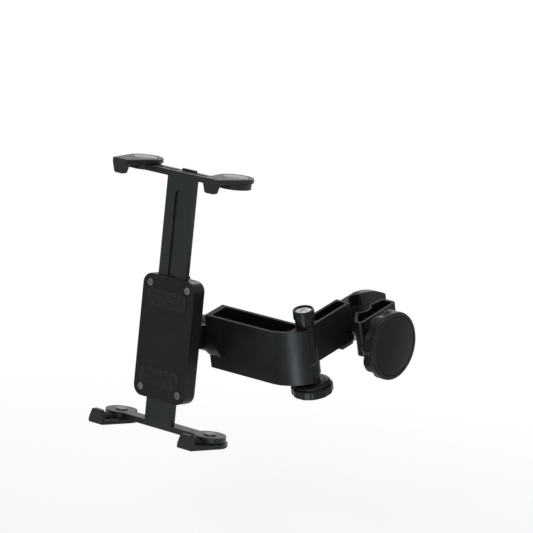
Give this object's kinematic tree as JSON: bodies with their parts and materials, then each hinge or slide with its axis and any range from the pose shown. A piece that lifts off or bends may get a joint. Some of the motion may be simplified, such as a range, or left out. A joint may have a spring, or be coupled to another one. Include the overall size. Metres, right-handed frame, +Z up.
{
  "type": "tablet holder",
  "caption": "Black plastic tablet holder: rod clamp with a big hand knob, short arm, swing bracket, tilt and spin joints, and a sliding cradle with pivoting claws.",
  "frame": {"origin": "on the axis of the clamp's groove, level with the middle of the gripped length's datum", "axes": "+X to the user's right across the cradle, +Y away from the user, +Z up along the cradle; the rod axis leans 18.4 degrees"},
  "size_m": [0.189, 0.1724, 0.1996],
  "materials": {
    "satin_black": "satin, fine moulded grain",
    "gloss_black": "semi-gloss",
    "soft_pad": "soft matte rubber",
    "steel": "zinc plated",
    "brass": "turned",
    "friction_washer": "grey fibre"
  },
  "bodies": {
    "mount_arm": {"clamp_arm": "satin_black", "clamp_stud": "steel", "fixed_jaw_pad": "soft_pad", "hinge_bolt": "steel", "hinge_collar": "satin_black", "hinge_cap": "satin_black"},
    "front_jaw": {"front_jaw": "satin_black", "front_jaw_pad": "soft_pad", "clamp_washer": "steel"},
    "clamp_knob": {"clamp_knob": "satin_black", "clamp_knob_cover": "gloss_black", "clamp_knob_insert": "brass"},
    "swing_bracket": {"swing_bracket": "satin_black", "hinge_washer": "steel", "tilt_bolt": "steel"},
    "hinge_knob": {"hinge_knob": "satin_black", "hinge_knob_insert": "brass"},
    "tilt_head": {"tilt_head": "satin_black", "tilt_washer_left": "friction_washer", "tilt_washer_right": "friction_washer", "spin_screw": "steel"},
    "tilt_knob": {"tilt_knob": "satin_black", "tilt_knob_insert": "brass"},
    "cradle": {"cradle_back": "satin_black", "cradle_cover": "satin_black", "cover_screws": "steel", "rest_pad_upper": "soft_pad", "rest_pad_lower": "soft_pad", "lower_bar": "satin_black", "spin_washer": "friction_washer", "slide_lock_insert": "brass", "claw_pin_lower_left": "steel", "claw_pin_lower_right": "steel"},
    "upper_slider": {"upper_slider": "satin_black", "claw_pin_upper_left": "steel", "claw_pin_upper_right": "steel"},
    "slide_lock_knob": {"slide_lock_knob": "satin_black"},
    "claw_upper_left": {"claw_upper_left": "satin_black", "claw_pad_upper_left": "soft_pad", "claw_disc_upper_left": "gloss_black"},
    "claw_upper_right": {"claw_upper_right": "satin_black", "claw_pad_upper_right": "soft_pad", "claw_disc_upper_right": "gloss_black"},
    "claw_lower_left": {"claw_lower_left": "satin_black", "claw_pad_lower_left": "soft_pad", "claw_disc_lower_left": "gloss_black"},
    "claw_lower_right": {"claw_lower_right": "satin_black", "claw_pad_lower_right": "soft_pad", "claw_disc_lower_right": "gloss_black"}
  },
  "joints": [
    {"name": "clamp_knob_turn", "type": "hinge", "parent": "front_jaw", "child": "clamp_knob", "pos_m": [0, -0.01107, -0.00642], "axis": [1, 0, 0], "range_deg": [-576, 1728]},
    {"name": "jaw_slide", "type": "slide", "parent": "mount_arm", "child": "front_jaw", "axis": [1, 0, 0], "range_m": [-0.002, 0.006]},
    {"name": "bracket_swing", "type": "hinge", "parent": "mount_arm", "child": "swing_bracket", "pos_m": [0, -0.05788, -0.01926], "axis": [0, -0.3156, 0.9489], "range_deg": [-30, 65]},
    {"name": "hinge_knob_turn", "type": "hinge", "parent": "mount_arm", "child": "hinge_knob", "pos_m": [0, -0.05788, -0.01926], "axis": [0, -0.3156, 0.9489], "range_deg": [-180, 180]},
    {"name": "cradle_tilt", "type": "hinge", "parent": "swing_bracket", "child": "tilt_head", "pos_m": [-0.0883, -0.06983, -0.01817], "axis": [1, 0, 0], "range_deg": [-30, 35]},
    {"name": "tilt_knob_turn", "type": "hinge", "parent": "swing_bracket", "child": "tilt_knob", "pos_m": [-0.0883, -0.06983, -0.01817], "axis": [1, 0, 0], "range_deg": [-180, 180]},
    {"name": "cradle_spin", "type": "hinge", "parent": "tilt_head", "child": "cradle", "pos_m": [-0.0883, -0.06983, -0.01817], "axis": [0, 1, 0], "range_deg": [-90, 90]},
    {"name": "slider_slide", "type": "slide", "parent": "cradle", "child": "upper_slider", "axis": [0, 0, 1], "range_m": [-0.046, 0.014]},
    {"name": "slide_lock_turn", "type": "hinge", "parent": "cradle", "child": "slide_lock_knob", "pos_m": [-0.0883, -0.12973, 0.01833], "axis": [0, 1, 0], "range_deg": [-180, 180]},
    {"name": "claw_swing_upper_left", "type": "hinge", "parent": "upper_slider", "child": "claw_upper_left", "pos_m": [-0.1323, -0.10773, 0.00983], "axis": [0, 0, 1], "range_deg": [-60, 30]},
    {"name": "claw_swing_upper_right", "type": "hinge", "parent": "upper_slider", "child": "claw_upper_right", "pos_m": [-0.0443, -0.10773, 0.00983], "axis": [0, 0, 1], "range_deg": [-30, 60]},
    {"name": "claw_swing_lower_left", "type": "hinge", "parent": "cradle", "child": "claw_lower_left", "pos_m": [-0.1323, -0.10773, 0.00983], "axis": [0, 0, 1], "range_deg": [-60, 30]},
    {"name": "claw_swing_lower_right", "type": "hinge", "parent": "cradle", "child": "claw_lower_right", "pos_m": [-0.0443, -0.10773, 0.00983], "axis": [0, 0, 1], "range_deg": [-30, 60]}
  ],
  "couplings": [
    {"joint": "jaw_slide", "follows": "clamp_knob_turn", "m_per_rad": 0.00019894}
  ]
}
